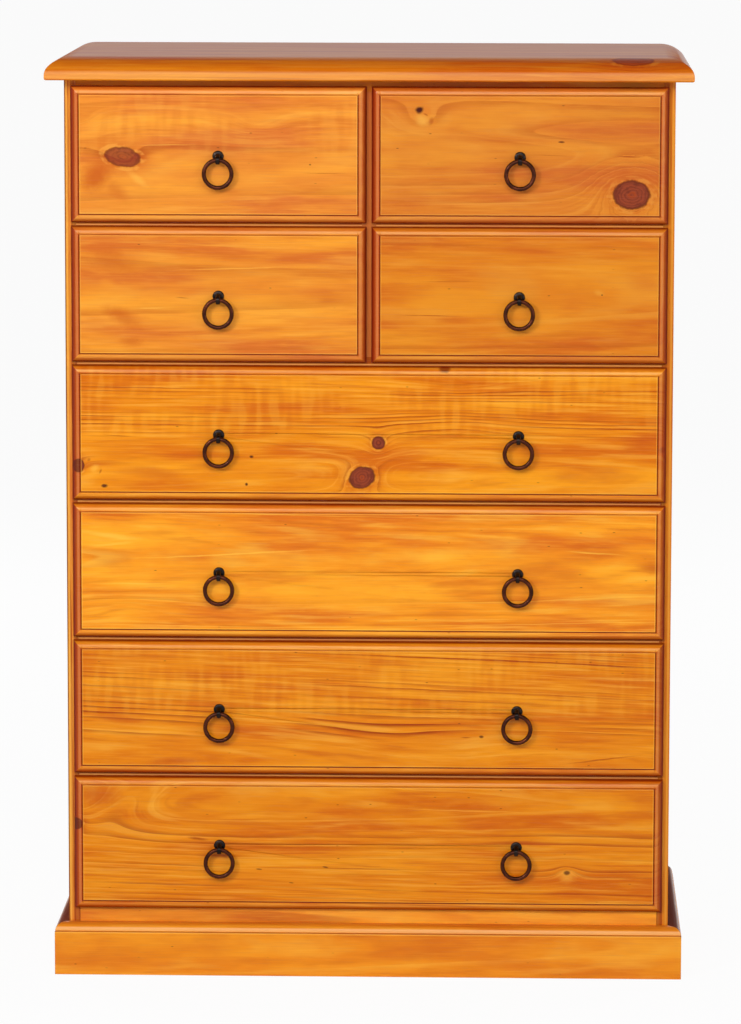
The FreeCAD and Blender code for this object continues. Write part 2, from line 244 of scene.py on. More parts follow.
# Which object axis runs along the grain, across it on the face, and into the board
FRONT_GRAIN = (0, 2, 1)
SIDE_GRAIN = (2, 1, 0)
TOP_GRAIN = (0, 1, 2)
RETURN_GRAIN = (1, 2, 0)

# A board's look, with lengths in mm and the rest as shares: how its tones are changed, darker by its own
# tone and on some boards by painted shade, and paler by a painted reflection veil, its gloss, how it was
# cut from the log, how plainly each part of the figure shows, its glued staves, and the painted shade and
# roughness on its ledges
PLAIN_LOOK = {
    "darker": 0.0,
    "painted_veil": 0.0,
    "gloss": 0.15,
    "pith": (0.0, 90.0),
    "tilt": 0.01,
    "lean": 0.0,
    "ring": 8.0,
    "wander": 12.0,
    "bands": 0.16,
    "blotch": 1.0,
    "streaks": 0.26,
    "lines": 0.5,
    "span": (-1000.0, 1000.0),
    "glow": 0.4,
    "ripple": None,
    "staves": 0.0,
    "painted_ledge_shade": 0.0,
    "ledge_roughness": 0.1,
    "marks": (),
}

# Noises in the wood: where they are drawn from, length along the grain, width across it and detail
NOISES = {
    "ragged": (0.0, 8.0, 8.0, 2.0),
    "fibre": (5.0, 50.0, 2.0, 2.0),
    "drift": (0.0, 800.0, 120.0, 2.0),
    "sway": (31.0, 600.0, 70.0, 2.0),
    "wobble": (57.0, 55.0, 12.0, 2.0),
    "fade": (23.0, 230.0, 60.0, 2.0),
    "blotch": (11.0, 300.0, 34.0, 3.0),
    "mottle": (91.0, 50.0, 12.0, 4.0),
    "streaks": (43.0, 120.0, 4.0, 3.0),
    "wave": (71.0, 11.0, 45.0, 0.0),
    "patch": (83.0, 170.0, 60.0, 2.0),
}

# Other lengths in the figure: sway of lines, soft ends of patches, flecks and the rings in a knot
FLOW_DRIFT = 60.0
GROWTH_WOBBLE = 2.0
MARK_WOBBLE = 4.0
SPAN_FADE = 16.0
RIPPLE_FADE = 18.0
FLECK_LENGTH = 46.0
FLECK_WIDTH = 13.0
CORE_RING = 4.0

# How far apart in the log, and in chance, staves of one panel may lie
STAVE_SHIFT = 2600.0
STAVE_CHANCE = 40.0
BAND_CHANCE = 0.37

# A moulded edge, measured in from its outer edge
BEAD = 11.0
BEAD_ARRIS = (0.8, 3.0)
BEAD_SLOPE = (4.0, 7.0)
BEAD_CREST = (6.8, 9.4)
BEAD_SHADE = (0.0, 9.0)
BEAD_DULL = (0.0, 6.0)
QUIRK = (11.0, 12.5)
ARRIS = (12.8, 13.8)
PLINTH_SLOPE = (1.0, 5.0)
PLINTH_CREST = (6.0, 9.6)
RETURN_BEAD = (4.0, 8.0)

# A side panel's front edge, measured in from its outer arris
STILE_ARRIS = (1.0, 2.2)
STILE_GLEAM = (2.2, 4.0)
STILE_SHADE = (7.6, 9.6)

# The painted highlight line in each gap between drawer rows and the painted shade beside it, measured
# away from its middle
GAP_LINE = (0.5, 1.3)
GAP_SHADE = (0.6, 1.7)
GAP_DROP = 3.0
upper_front_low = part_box("top_left_drawer_front")[0][2] / MM
lower_front_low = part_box("second_left_drawer_front")[0][2] / MM
ROW_PITCH = upper_front_low - lower_front_low
GAP_HEIGHT = upper_front_low - GAP_DROP

# Lengths over which one half or one mitred side gives way to the other
HALF_BLEND = 1.0
MITRE_BLEND = 0.4

# Lacquer: its roughness, the fibre's share of it, and the relief left by fibre and late wood
LACQUER_ROUGHNESS = 0.2
FIBRE_ROUGHNESS = 0.12
LATE_RELIEF = 0.5
RELIEF_STRENGTH = 0.1
RELIEF_HEIGHT = 0.3

# How far a knot's dark heart shows
KNOT_DEPTH = {"knot": 1.0, "soft_knot": 0.75}


def blend(first, second, share):
    return tuple(min(1.0, max(0.0, a + (b - a) * share)) for a, b in zip(first, second))


# Tones made darker, and the light tones paled by the painted reflection veil
def toned(tones, darker, painted_veil):
    shades = dict(tones)
    for name in LIGHT_TONES:
        shades[name] = blend(blend(tones[name], tones["line"], darker), PAINTED_VEIL, painted_veil)
    return shades


# How far growth swells at a distance from a knot, in knot radii
def bulge(rho):
    spread = rho * rho / 4.0 + 1.0
    return 1.0 / (spread * spread)


# A board cut from a log: growth rings bent round knots, with stain laid over them
class Board(Graph):
    def __init__(self, name, node, grain, seed, tones, changes):
        super().__init__(name)
        self.look = dict(PLAIN_LOOK, **changes)
        self.tones = toned(tones, self.look["darker"], self.look["painted_veil"])
        self.tone = self.tones["mid"]
        self.low, self.high = [[edge / MM for edge in corner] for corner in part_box(node)]
        self.point = self.place()
        self.facing = self.normal()
        self.grain = grain
        self.along, self.across, self.depth = [
            self.point[axis] - (self.low[axis] + self.high[axis]) / 2.0 for axis in grain
        ]
        self.seed = seed
        self.run = self.along
        self.pith = self.look["pith"][0]
        if self.look["staves"]:
            self.glue_up(self.look["staves"])
        self.ragged = self.figure_noise("ragged") - 0.5
        self.fibre = self.figure_noise("fibre")
        self.flat = self.facing[2].rise(0.6, 0.95)
        self.rough = self.flat * self.look["ledge_roughness"]
        self.amounts = {}

    # Staves glued edge to edge, each from another place in the log
    def glue_up(self, width):
        stave = (self.across / width + 0.5).whole()
        luck = self.chance(stave + self.seed)
        self.run = self.along + luck * STAVE_SHIFT
        self.pith = (stave + (luck - 0.5)) * width
        self.seed = luck * STAVE_CHANCE + self.seed

    # Noise drawn out along the grain
    def figure_noise(self, name):
        offset, length, width, detail = NOISES[name]
        start = self.run / length + (self.seed + offset)
        return self.noise(start, self.across / width, self.depth / width, detail)

    # Noise that bends with the growth round knots
    def flow_noise(self, name):
        offset, length, width, detail = NOISES[name]
        start = self.run / length + (self.seed + offset)
        reach = self.growth * self.look["ring"]
        return self.noise(start, reach / width, self.across / FLOW_DRIFT, detail)

    def shade(self, amount, name):
        self.tone = self.mix(amount, self.tone, self.tones[name])

    # The greatest amount of each kind of mark
    def keep(self, kind, amount):
        self.amounts[kind] = self.amounts[kind].most(amount) if kind in self.amounts else amount

    # Growth in ring widths
    def grow(self):
        look = self.look
        drift = self.figure_noise("drift") - 0.5
        sway = self.figure_noise("sway") - 0.5
        self.wobble = self.figure_noise("wobble") - 0.5
        side = self.across - self.pith + self.along * look["lean"]
        side = side + drift * look["wander"] + self.wobble * GROWTH_WOBBLE
        deep = self.depth + self.along * look["tilt"] + look["pith"][1] + sway * look["wander"]
        self.growth = (side * side + deep * deep).root() / look["ring"]

    # Marks are ovals on the face
    def place_marks(self):
        for kind, x, z, radius, stretch, turn, strength in self.look["marks"]:
            cosine = math.cos(math.radians(turn))
            sine = math.sin(math.radians(turn))
            right = self.along - x
            up = self.across - z
            u = (right * cosine + up * sine) / (radius * stretch)
            v = (up * cosine - right * sine + self.wobble * MARK_WOBBLE) / radius
            rho = (u * u + v * v).root()
            if kind in KNOT_DEPTH:
                self.place_knot(rho + self.ragged * 0.25, radius, strength, KNOT_DEPTH[kind])
            elif kind == "swirl":
                self.growth = self.growth + bulge(rho) * strength
            elif kind == "pin":
                self.keep("rim", (rho + self.ragged * 0.6).fall(0.4, 1.0) * strength)
            else:
                self.keep(kind, (rho + self.ragged * 0.3).fall(0.1, 1.0) * strength)

    def place_knot(self, rho, radius, strength, depth):
        near = bulge(rho)
        self.growth = self.growth + near * strength
        self.keep("near", near)
        self.keep("core", rho.fall(0.92, 1.06) * depth)
        rings = (rho * (radius / CORE_RING) + self.wobble).fraction().rise(0.2, 0.95)
        self.keep("core_line", rings * rho.fall(0.85, 1.0) * (depth * depth))
        self.keep("eye", rho.band(0.14, 0.2, 0.05) * depth)
        self.keep("rim", rho.rise(0.8, 1.0) * rho.fall(1.0, 1.12) * (depth * 0.7))
        broken = (self.wobble + self.ragged * 0.5 + 0.5).rise(0.4, 0.62)
        self.keep("halo", rho.band(1.14, 1.34, 0.12) * broken)

    # Early and late wood, fading in and out along the board
    def draw_figure(self):
        look = self.look
        phase = self.growth.fraction()
        ring = self.growth.whole()
        ring_luck = self.chance(ring + self.seed)
        band_luck = self.chance(ring + (self.seed + BAND_CHANCE))
        fade = self.figure_noise("fade").rise(0.3, 0.6)
        self.late = phase.rise(0.45, 0.94) * phase.fall(0.95, 1.0)
        early = phase.rise(0.0, 0.03) * phase.fall(0.04, 0.2) * (1.0 - fade * 0.5)
        shown = fade * self.across.band(*look["span"], SPAN_FADE) * look["lines"]
        if "near" in self.amounts:
            shown = shown + self.amounts["near"] * 1.2
        blotch = self.figure_noise("blotch")
        mottle = self.figure_noise("mottle")
        streaks = self.flow_noise("streaks")
        self.shade(blotch.fall(0.36, 0.5) * look["blotch"], "deep")
        self.shade(blotch.rise(0.5, 0.66) * look["blotch"], "pale")
        self.shade((band_luck - 0.5) * look["bands"], "pale")
        self.shade((0.5 - band_luck) * look["bands"], "deep")
        self.shade(mottle.rise(0.5, 0.7) * 0.2, "deep")
        self.shade(mottle.fall(0.3, 0.5) * 0.25, "pale")
        self.shade(streaks.rise(0.5, 0.72) * look["streaks"], "flush")
        self.shade(streaks.fall(0.3, 0.5) * look["streaks"], "glow")
        self.shade(self.late * shown * ring_luck.rise(0.15, 0.9), "line")
        self.shade(early * band_luck.rise(0.35, 1.0) * look["glow"], "glow")
        self.shade(self.fibre.rise(0.5, 0.74) * 0.13, "line")
        self.shade(self.fibre.fall(0.28, 0.5) * 0.13, "glow")

    # Fine ripple across the grain
    def draw_ripple(self):
        if not self.look["ripple"]:
            return
        strength, floor, ceiling = self.look["ripple"]
        wave = self.figure_noise("wave")
        patch = self.figure_noise("patch").rise(0.36, 0.6)
        patch = patch * self.across.band(floor, ceiling, RIPPLE_FADE) * strength
        self.shade(wave.rise(0.48, 0.7) * patch, "glow")
        self.shade(wave.fall(0.3, 0.52) * patch, "flush")

    # Short resin flecks
    def draw_flecks(self):
        away, pick = self.scatter(self.run / FLECK_LENGTH + self.seed, self.across / FLECK_WIDTH)
        self.shade(away.fall(0.01, 0.06) * pick.rise(0.9, 1.0) * 0.8, "rim")

    def draw_marks(self):
        if "near" in self.amounts:
            self.shade(self.amounts["near"].rise(0.1, 0.7) * 0.45, "flush")
            self.shade(self.amounts["halo"] * 0.4, "glow")
            self.shade(self.amounts["core"], "core")
            self.shade(self.amounts["core_line"] * (self.ragged + 0.8) * 0.55, "core_line")
            self.shade(self.amounts["core"] * self.ragged.rise(0.0, 0.2) * 0.3, "core_line")
            self.shade(self.amounts["eye"] * 0.4, "flush")
        for kind, name in (
            ("flush", "flush"), ("pale", "pale"), ("streak", "line"), ("gleam", "glow"), ("rim", "rim"),
        ):
            if kind in self.amounts:
                self.shade(self.amounts[kind], name)

    # Stain gathers in end grain, and painted shade darkens flat ledges
    def stain_ends_and_shade_ledges(self):
        self.shade(self.facing[self.grain[0]].size().rise(0.2, 0.95) * 0.5, "edge")
        self.shade(self.flat * self.look["painted_ledge_shade"], "edge")

    # On a drawer front stain gathers in the side beads' end grain and in the quirk, painted shade darkens
    # the bead's outer edge and its lower and left sides, and painted highlights lie along the crest and
    # the arris inside the quirk
    def stain_and_paint_lip_light(self):
        ends = (self.point[0] - self.low[0]).least(self.high[0] - self.point[0])
        rims = (self.point[2] - self.low[2]).least(self.high[2] - self.point[2])
        inset = ends.least(rims)
        beside = (rims - ends).rise(-MITRE_BLEND, MITRE_BLEND)
        level = 1.0 - beside
        upper = self.across.rise(-HALF_BLEND, HALF_BLEND) * level
        lower = level - upper
        left = self.along.fall(-HALF_BLEND, HALF_BLEND) * beside
        bead = inset.fall(BEAD - MITRE_BLEND, BEAD + MITRE_BLEND)
        # Painted shade on the outer slope of the upper and lower beads
        self.shade(inset.fall(*BEAD_SLOPE) * level * 0.35, "flush")
        # Side beads redder by end-grain stain, the left ones more by painted shade
        self.shade(bead * (beside * 0.57 + left * 0.32), "flush")
        # A painted highlight along the bead's crest
        self.shade(inset.band(*BEAD_CREST, 1.2) * (upper * 0.17 + beside * 0.12 + 0.06), "painted_highlight")
        # Painted shade on the lower and left beads, with end-grain stain on the side beads
        self.shade(inset.fall(*BEAD_SHADE) * (lower * 0.65 + beside * 0.65 + left * 0.3), "edge")
        # Painted shade on the outer arris, beside the gaps
        self.shade(inset.fall(*BEAD_ARRIS) * 0.85, "edge")
        # Stain in the quirk, kept lighter in the upper quirk as painted light
        self.shade(inset.band(*QUIRK, 0.4) * (0.9 - upper * 0.5), "edge")
        # A painted highlight on the arris inside the quirk
        self.shade(inset.band(*ARRIS, 0.4) * 0.35, "glow")
        if "core" in self.amounts:
            self.shade(self.amounts["core"] * inset.fall(BEAD, BEAD + 1.0) * 0.7, "rim")
        self.rough = inset.fall(*BEAD_DULL) * beside * 0.4

    # On the plinth painted shade reddens the bead's upper edge, painted highlights lie along its crest
    # and on the arris, and stain lies in the quirk
    def stain_and_paint_plinth_light(self):
        below = self.high[2] - self.point[2]
        self.shade(below.fall(*PLINTH_SLOPE) * 0.4, "flush")
        self.shade(below.band(*PLINTH_CREST, 1.4) * 0.6, "painted_highlight")
        self.shade(below.band(*QUIRK, 0.3) * 0.45, "edge")
        self.shade(below.band(*ARRIS, 0.6) * 0.5, "glow")

    # On a plinth return painted shade darkens the ledge and most of the bead
    def paint_return_shade(self):
        below = self.high[2] - self.point[2]
        self.shade(below.fall(*RETURN_BEAD) * self.look["painted_ledge_shade"], "rim")

    # On the top board painted shade reddens the crown where it rolls over, a painted highlight lies on
    # the nose's front, and the ends darken by end-grain stain and painted shade
    def paint_crown_light(self):
        self.shade(self.facing[2].band(0.4, 0.94, 0.3) * 0.36, "flush")
        self.shade((0.0 - self.facing[1]).rise(0.9, 1.0) * 0.3, "painted_highlight")
        self.shade(self.facing[0].size().rise(0.4, 0.95) * 0.35, "edge")

    # On a side panel's front edge a painted highlight lies on the rounded arris and painted shade beside
    # the drawers, and on the left panel painted shade lies on the outer arris
    def paint_stile_light(self):
        front = (0.0 - self.facing[1]).rise(0.4, 0.9)
        reach = max(abs(self.low[0]), abs(self.high[0]))
        inset = reach - self.point[0].size()
        left = self.point[0].fall(-HALF_BLEND, HALF_BLEND)
        self.shade(inset.band(*STILE_GLEAM, 0.8) * front * 0.6, "glow")
        self.shade(inset.rise(*STILE_SHADE) * front * 0.45, "edge")
        self.shade(inset.fall(*STILE_ARRIS) * front * left * 0.7, "rim")

    # On the rails a painted highlight leaves a lighter line midway between the drawers, with painted
    # shade towards the drawers
    def paint_gap_light(self):
        rows = (self.point[2] - GAP_HEIGHT) / ROW_PITCH + 0.5
        away = (rows.fraction() - 0.5).size() * ROW_PITCH
        self.shade(away.fall(*GAP_LINE) * 0.38, "painted_highlight")
        self.shade(away.rise(*GAP_SHADE) * 0.7, "edge")

    def lacquer(self):
        self.plug(self.tone, self.shader.inputs["Base Color"])
        roughness = self.fibre * FIBRE_ROUGHNESS + self.rough + LACQUER_ROUGHNESS
        self.plug(roughness, self.shader.inputs["Roughness"])
        self.shader.inputs["Specular IOR Level"].default_value = self.look["gloss"]
        self.bump(self.fibre + self.late * LATE_RELIEF, RELIEF_STRENGTH, RELIEF_HEIGHT * MM)


def pine(name, node, grain, seed, tones=STAIN, edging=None, **changes):
    board = Board(name, node, grain, seed, tones, changes)
    board.grow()
    board.place_marks()
    board.draw_figure()
    board.draw_ripple()
    board.draw_flecks()
    board.draw_marks()
    board.stain_ends_and_shade_ledges()
    if edging:
        edging(board)
    board.lacquer()
    return board.material


# Drawer fronts; a mark is its kind, place along and up, radius, stretch, turn and strength
# The upper rows' darker shares hold painted shade as well as each front's own tone
FRONT_LOOKS = {
    "top_left": {
        "darker": 0.08, "painted_veil": 0.07, "pith": (-20.0, 150.0), "ring": 6.0, "wander": 7.0,
        "lines": 0.3, "glow": 0.35, "ripple": (0.13, 10.0, 90.0),
        "marks": (
            ("soft_knot", -133.0, -3.0, 13.0, 1.85, -10.0, 0.8),
            ("flush", -170.0, -30.0, 26.0, 1.4, 34.0, 0.75),
            ("flush", -142.0, -50.0, 14.0, 2.2, -40.0, 0.35),
            ("gleam", -112.0, -34.0, 7.0, 3.4, -38.0, 0.5),
            ("pale", -84.0, -3.0, 8.0, 2.6, 0.0, 0.5),
            ("gleam", -70.0, 14.0, 1.6, 32.0, 1.0, 0.5),
            ("streak", 150.0, -25.0, 1.0, 40.0, -1.0, 0.5),
            ("pin", 128.0, -13.0, 1.6, 1.2, 0.0, 0.7),
            ("swirl", -200.0, 44.0, 16.0, 2.0, 0.0, 2.0),
            ("swirl", 54.0, 42.0, 12.0, 3.0, 0.0, 1.6),
        ),
    },
    "top_right": {
        "darker": 0.33, "painted_veil": 0.05, "bands": 0.1, "pith": (20.0, 150.0), "ring": 6.0, "wander": 7.0,
        "lines": 0.35, "glow": 0.3,
        "marks": (
            ("knot", 155.0, -53.0, 19.0, 1.3, 0.0, 12.0),
            ("pin", -140.0, 64.0, 7.0, 1.1, 0.0, 1.0),
            ("gleam", -136.0, 49.0, 11.0, 1.4, -20.0, 0.9),
            ("streak", -124.0, 48.0, 4.6, 1.8, 62.0, 0.55),
            ("streak", -131.0, 57.0, 2.2, 2.4, -30.0, 0.7),
            ("swirl", -138.0, 54.0, 14.0, 1.8, 0.0, 1.4),
            ("pin", 57.0, 20.0, 1.5, 4.0, 0.0, 0.8),
            ("streak", 153.0, 0.0, 1.3, 18.0, 0.0, 1.0),
            ("streak", 37.0, 1.0, 0.8, 60.0, -1.0, 0.4),
            ("swirl", 130.0, 33.0, 12.0, 13.0, 0.0, 2.0),
            ("flush", -160.0, -62.0, 20.0, 3.0, 0.0, 0.3),
        ),
    },
    "second_left": {
        "darker": 0.1, "painted_veil": 0.05, "pith": (10.0, 170.0), "ring": 6.5, "wander": 7.0,
        "lines": 0.25, "glow": 0.5,
        "marks": (
            ("flush", -150.0, 48.0, 26.0, 2.0, -20.0, 0.45),
            ("flush", -132.0, -32.0, 16.0, 2.6, -24.0, 0.5),
            ("flush", -122.0, -66.0, 10.0, 2.4, 0.0, 0.4),
            ("pale", -156.0, 16.0, 9.0, 2.0, 0.0, 0.4),
            ("gleam", 24.0, 37.0, 1.6, 70.0, 2.0, 0.6),
            ("gleam", -92.0, -19.0, 1.5, 28.0, 2.0, 0.7),
            ("streak", -50.0, -4.0, 0.9, 14.0, -4.0, 0.6),
            ("pale", 130.0, -7.0, 6.0, 4.0, 0.0, 0.4),
        ),
    },
    "second_right": {
        "darker": 0.28, "painted_veil": 0.02, "pith": (0.0, 170.0), "ring": 6.0, "wander": 6.0,
        "lines": 0.3, "glow": 0.35,
        "marks": (
            ("streak", -124.0, -28.0, 1.0, 62.0, 0.0, 0.7),
            ("streak", -98.0, 20.0, 0.9, 70.0, 1.0, 0.5),
            ("pale", -134.0, -9.0, 8.0, 4.0, 4.0, 0.6),
            ("flush", -90.0, -34.0, 6.0, 6.0, 0.0, 0.4),
            ("pin", 115.0, 2.0, 1.3, 1.2, 0.0, 0.8),
            ("gleam", 111.0, 5.0, 6.0, 1.8, -20.0, 0.45),
            ("flush", 176.0, 18.0, 22.0, 1.8, 0.0, 0.3),
        ),
    },
    "third": {
        "darker": 0.05, "pith": (-62.0, 56.0), "ring": 4.8, "lines": 0.9, "streaks": 0.4,
        "span": (6.0, 62.0), "glow": 0.45, "ripple": (0.16, 8.0, 90.0),
        "marks": (
            ("knot", 14.0, -12.0, 9.0, 1.0, 0.0, 3.0),
            ("knot", -9.0, -61.0, 14.5, 1.25, 24.0, 4.0),
            ("pin", -164.0, -32.0, 3.0, 1.3, 0.0, 0.9),
            ("pin", -171.0, -71.0, 2.6, 1.0, 0.0, 0.9),
            ("pin", -370.0, -75.0, 4.0, 1.6, 0.0, 0.9),
            ("knot", -407.0, -46.0, 9.0, 0.9, 0.0, 1.0),
            ("pin", 412.0, -20.0, 6.0, 1.2, 0.0, 0.8),
            ("pin", 106.0, 92.0, 8.0, 1.3, 0.0, 0.85),
            ("swirl", 116.0, 68.0, 9.0, 5.0, 0.0, 1.6),
            ("swirl", 128.0, 12.0, 16.0, 3.4, 0.0, -1.6),
            ("flush", 390.0, -8.0, 20.0, 2.4, 14.0, 0.45),
            ("flush", -300.0, -56.0, 13.0, 4.6, -8.0, 0.4),
            ("streak", -350.0, -4.0, 1.4, 20.0, -4.0, 0.6),
            ("streak", -392.0, -38.0, 3.0, 1.4, 40.0, 0.5),
            ("gleam", -384.0, -50.0, 7.0, 1.3, 30.0, 0.6),
            ("streak", -376.0, -54.0, 2.0, 2.6, 60.0, 0.6),
        ),
    },
    "fourth": {
        "darker": -0.15, "painted_veil": 0.02, "pith": (20.0, 120.0), "ring": 6.5, "lines": 0.2,
        "streaks": 0.36, "glow": 0.7, "span": (-40.0, 40.0),
        "marks": (
            ("gleam", -360.0, 50.0, 5.0, 12.0, -7.0, 0.5),
            ("gleam", -360.0, 38.0, 3.0, 16.0, 6.0, 0.5),
            ("gleam", -200.0, 24.0, 1.5, 130.0, 3.0, 0.6),
            ("gleam", 317.0, 29.0, 1.6, 34.0, -4.0, 0.6),
            ("gleam", -330.0, -18.0, 1.4, 50.0, 0.0, 0.6),
            ("pale", -60.0, -40.0, 24.0, 9.0, 0.0, 0.5),
            ("flush", 400.0, 8.0, 12.0, 2.6, -10.0, 0.5),
            ("swirl", -340.0, -54.0, 10.0, 4.0, 0.0, 1.2),
        ),
    },
    "fifth": {
        "darker": 0.12, "pith": (-80.0, 70.0), "ring": 6.0, "lean": 0.03, "lines": 1.2,
        "span": (-30.0, 70.0), "streaks": 0.45, "glow": 0.45, "ripple": (0.14, 0.0, 80.0),
        "marks": (
            ("pin", 160.0, -38.0, 2.6, 1.6, 0.0, 0.8),
            ("streak", 138.0, -39.0, 1.2, 8.0, 0.0, 0.7),
            ("pale", -140.0, 52.0, 7.0, 8.0, -2.0, 0.5),
            ("pale", 290.0, 42.0, 5.0, 8.0, -3.0, 0.5),
            ("flush", -350.0, -17.0, 9.0, 6.0, -6.0, 0.5),
            ("flush", -270.0, -76.0, 8.0, 7.0, 3.0, 0.6),
            ("flush", -180.0, -31.0, 6.0, 7.0, -4.0, 0.4),
            ("streak", 330.0, -70.0, 1.6, 40.0, 7.0, 0.7),
            ("swirl", 57.0, -46.0, 18.0, 5.0, -10.0, 1.4),
        ),
    },
    "bottom": {
        "darker": 0.14, "pith": (60.0, 80.0), "ring": 6.5, "lean": 0.02, "lines": 0.6,
        "streaks": 0.42, "glow": 0.55,
        "marks": (
            ("pin", 282.0, -38.0, 5.0, 1.1, 0.0, 0.8),
            ("gleam", 282.0, -43.0, 13.0, 1.3, 0.0, 0.55),
            ("swirl", 282.0, -38.0, 8.0, 1.3, 0.0, 1.6),
            ("streak", -240.0, 7.0, 4.0, 5.0, -8.0, 0.8),
            ("flush", -211.0, -17.0, 6.0, 7.0, 0.0, 0.5),
            ("pin", -154.0, -36.0, 1.3, 4.0, -6.0, 0.7),
            ("pin", -60.0, -33.0, 1.3, 4.0, -8.0, 0.7),
            ("pin", -108.0, -55.0, 1.1, 4.0, -6.0, 0.6),
            ("knot", -413.0, 27.0, 9.0, 1.0, 0.0, 1.2),
            ("flush", -380.0, 70.0, 26.0, 1.8, 0.0, 0.6),
            ("swirl", -345.0, 56.0, 20.0, 2.0, 30.0, 2.4),
            ("gleam", 140.0, 50.0, 1.4, 90.0, -1.5, 0.5),
            ("flush", 228.0, 4.0, 5.0, 10.0, -2.0, 0.5),
        ),
    },
}


# Bronze, with sizes of its patina and grit
PATINA_SIZE = 12.0
GRIT_SIZE = 0.9
GRIT_RELIEF = 0.03
GRIT_HEIGHT = 0.2
BRONZE_METALLIC = 0.85
BRONZE_ROUGHNESS = 0.16


def bronze(name, dark, light):
    graph = Graph(name)
    point = graph.place()
    patina = graph.noise(*[value / PATINA_SIZE for value in point])
    grit = graph.noise(*[value / GRIT_SIZE for value in point])
    graph.plug(graph.mix(patina.rise(0.3, 0.7), dark, light), graph.shader.inputs["Base Color"])
    graph.shader.inputs["Metallic"].default_value = BRONZE_METALLIC
    graph.plug(grit * 0.08 + patina * 0.1 + BRONZE_ROUGHNESS, graph.shader.inputs["Roughness"])
    graph.bump(grit, GRIT_RELIEF, GRIT_HEIGHT * MM)
    return graph.material


# Peeled veneer, with sizes of its figure and fibre
VENEER = {
    "deep": colour(224, 187, 133),
    "pale": colour(233, 202, 151),
    "ring": colour(198, 150, 96),
    "fibre": colour(178, 132, 80),
}
VENEER_FIGURE = (110.0, 40.0, 700.0)
VENEER_FIBRE = (1.3, 1.3, 45.0)
VENEER_RINGS = 22.0
VENEER_ROUGHNESS = 0.5


def plywood():
    graph = Graph("plywood")
    point = graph.place()
    figure = graph.noise(*[value / size for value, size in zip(point, VENEER_FIGURE)], 1.0)
    fibre = graph.noise(*[value / size for value, size in zip(point, VENEER_FIBRE)])
    rings = (figure * VENEER_RINGS).fraction()
    tone = graph.mix(figure.rise(0.3, 0.7), VENEER["deep"], VENEER["pale"])
    tone = graph.mix(rings.rise(0.3, 0.9) * rings.fall(0.9, 1.0) * 0.4, tone, VENEER["ring"])
    tone = graph.mix(fibre.rise(0.5, 0.75) * 0.35, tone, VENEER["fibre"])
    graph.plug(tone, graph.shader.inputs["Base Color"])
    graph.plug(fibre * 0.2 + VENEER_ROUGHNESS, graph.shader.inputs["Roughness"])
    graph.bump(fibre, RELIEF_STRENGTH, RELIEF_HEIGHT * MM)
    return graph.material


# Softened edges on the planed boards
WELD_REACH = 0.01
SHARP_ANGLE = math.radians(40.0)
EDGE_STEPS = 2
FRONT_EDGE = 0.4
BOARD_EDGE = 0.6
SIDE_EDGE = 1.2


def soften(node, width):
    shape = frame["nodes"][node]
    weld = shape.modifiers.new("weld", "WELD")
    weld.merge_threshold = WELD_REACH * MM
    bevel = shape.modifiers.new("arris", "BEVEL")
    bevel.width = width * MM
    bevel.segments = EDGE_STEPS
    bevel.limit_method = "ANGLE"
    bevel.angle_limit = SHARP_ANGLE
    shape.modifiers.new("shading", "WEIGHTED_NORMAL").keep_sharp = True


def paint(node, material):
    shape = frame["nodes"][node]
    for material_slot in shape.material_slots:
        material_slot.material = material


# Looks shared by several boards
SIDE_LOOK = {
    "edging": Board.paint_stile_light, "staves": 104.0, "lines": 0.9, "streaks": 0.4, "blotch": 0.75,
}
# Plinth returns, with painted shade on the ledge and bead
LEDGE_LOOK = {"edging": Board.paint_return_shade, "ledge_roughness": 0.5, "gloss": 0.05}
INSIDE_LOOK = {"tones": BARE, "lines": 0.7, "blotch": 0.7}

# The other stained boards: grain, seed and look
BOARD_LOOKS = {
    # The top, with painted shade on its flat and painted light on its crown
    "top_board": (TOP_GRAIN, 40.0, {
        "edging": Board.paint_crown_light, "darker": 0.2, "painted_ledge_shade": 0.2, "gloss": 0.1, "staves": 112.0,
        "marks": (("knot", 366.0, -204.0, 12.0, 2.3, 0.0, 2.0),),
    }),
    "plinth_front": (FRONT_GRAIN, 47.0, {
        "edging": Board.stain_and_paint_plinth_light, "darker": -0.03, "painted_veil": 0.02, "pith": (10.0, 150.0), "wander": 5.0,
        "lines": 0.15, "bands": 0.05, "blotch": 0.5,
    }),
    "left_plinth": (RETURN_GRAIN, 51.0, dict(LEDGE_LOOK, painted_ledge_shade=0.66)),
    "right_plinth": (RETURN_GRAIN, 55.0, dict(LEDGE_LOOK, painted_ledge_shade=0.82)),
    "left_side_panel": (SIDE_GRAIN, 61.0, dict(SIDE_LOOK, darker=0.1, painted_veil=0.06)),
    "right_side_panel": (SIDE_GRAIN, 67.0, dict(SIDE_LOOK, darker=0.32, painted_veil=0.01)),
    # The drawer rails, the top rail under the top's overhang and the centre divider are made darker by
    # painted shade
    "drawer_rails": (FRONT_GRAIN, 73.0, {"edging": Board.paint_gap_light, "darker": 0.3}),
    "bottom_rail": (FRONT_GRAIN, 75.0, {"darker": -0.16, "painted_veil": 0.05, "wander": 6.0, "lines": 0.4}),
    "top_rail": (FRONT_GRAIN, 77.0, {"darker": 0.5}),
    "centre_divider": (SIDE_GRAIN, 79.0, {"darker": 0.75, "painted_veil": 0.05}),
}
FIRST_SEED = 2.0
SEED_STEP = 3.7

post_material = bronze("blackened_bronze", colour(20, 15, 14), colour(38, 28, 24))
ring_material = bronze("rubbed_bronze", colour(52, 20, 8), colour(80, 34, 15))
plywood_material = plywood()
box_material = pine("pale_pine_boards", "third_drawer_box", RETURN_GRAIN, 140.0, **INSIDE_LOOK)
inside_material = pine("pale_pine_frame", "drawer_rails", FRONT_GRAIN, 150.0, **INSIDE_LOOK)

